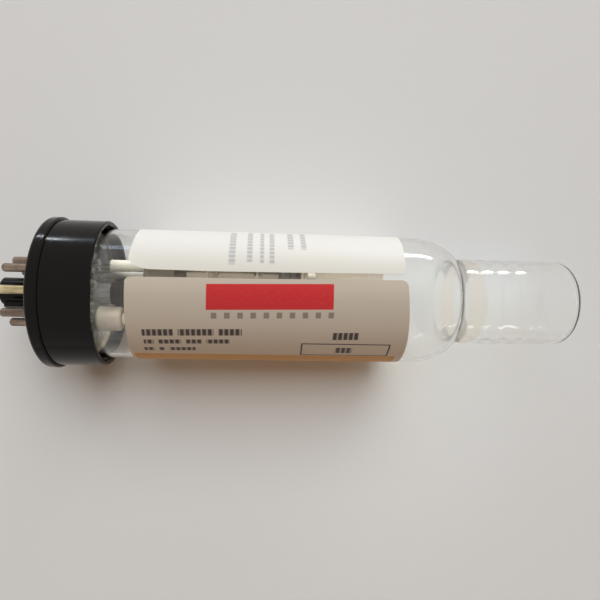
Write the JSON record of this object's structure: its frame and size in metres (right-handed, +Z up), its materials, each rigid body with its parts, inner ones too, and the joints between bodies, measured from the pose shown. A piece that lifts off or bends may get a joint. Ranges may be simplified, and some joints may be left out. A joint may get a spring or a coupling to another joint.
{
  "type": "hollow cathode lamp",
  "caption": "Sealed glass spectral lamp with a keyed multi-pin plug base, a stepped neck ending in a flat window, and a hollow cathode and ring anode inside.",
  "frame": {"origin": "on the lamp's axis in the back face of the base flange, at the root of the spigot", "axes": "+X along the optical axis from the pins towards the window, +Z up as the lamp lies on a table"},
  "size_m": [0.1658, 0.0428, 0.0428],
  "materials": {
    "base_plastic": "glossy moulded black",
    "pin_metal": "dull nickel-plated brass",
    "base_cement": "matt",
    "envelope_glass": "clear, fire polished",
    "seal_glass": "clear, faintly tinted, rippled",
    "silica": "clear, polished",
    "stem_glass": "clear, fire polished",
    "nickel": "bright drawn",
    "shield_nickel": "dull, heat darkened",
    "white_ceramic": "matt white",
    "cream_ceramic": "matt cream",
    "mica": "silvery, cleaved",
    "cathode_steel": "turned",
    "emitter_metal": "dull silvery",
    "anode_metal": "grey",
    "label_paper": "white, satin coated"
  },
  "bodies": {
    "root": {"anode_front_sleeve": "white_ceramic", "anode_lead": "nickel", "anode_ring": "anode_metal", "anode_sleeve": "white_ceramic", "base_cement": "base_cement", "base_shell": "base_plastic", "cathode_cup": "cathode_steel", "cathode_emitter": "emitter_metal", "cathode_holder": "shield_nickel", "cathode_lead": "nickel", "cathode_sleeve": "white_ceramic", "cathode_tube": "cream_ceramic", "centre_mica": "mica", "centre_tube": "shield_nickel", "contact_pin_1": "pin_metal", "contact_pin_2": "pin_metal", "contact_pin_3": "pin_metal", "contact_pin_4": "pin_metal", "contact_pin_5": "pin_metal", "contact_pin_6": "pin_metal", "contact_pin_7": "pin_metal", "contact_pin_8": "pin_metal", "front_mica": "mica", "glass_bulb": "envelope_glass", "glass_stem": "stem_glass", "graded_seal": "seal_glass", "label": "label_paper", "mica_collars": "nickel", "rear_mica": "mica", "rear_shield": "shield_nickel", "support_rod_1": "nickel", "support_rod_2": "nickel", "support_rod_3": "nickel", "support_stub_1": "nickel", "support_stub_2": "nickel", "support_stub_3": "nickel", "window_disc": "silica", "window_neck": "silica"}
  },
  "joints": []
}
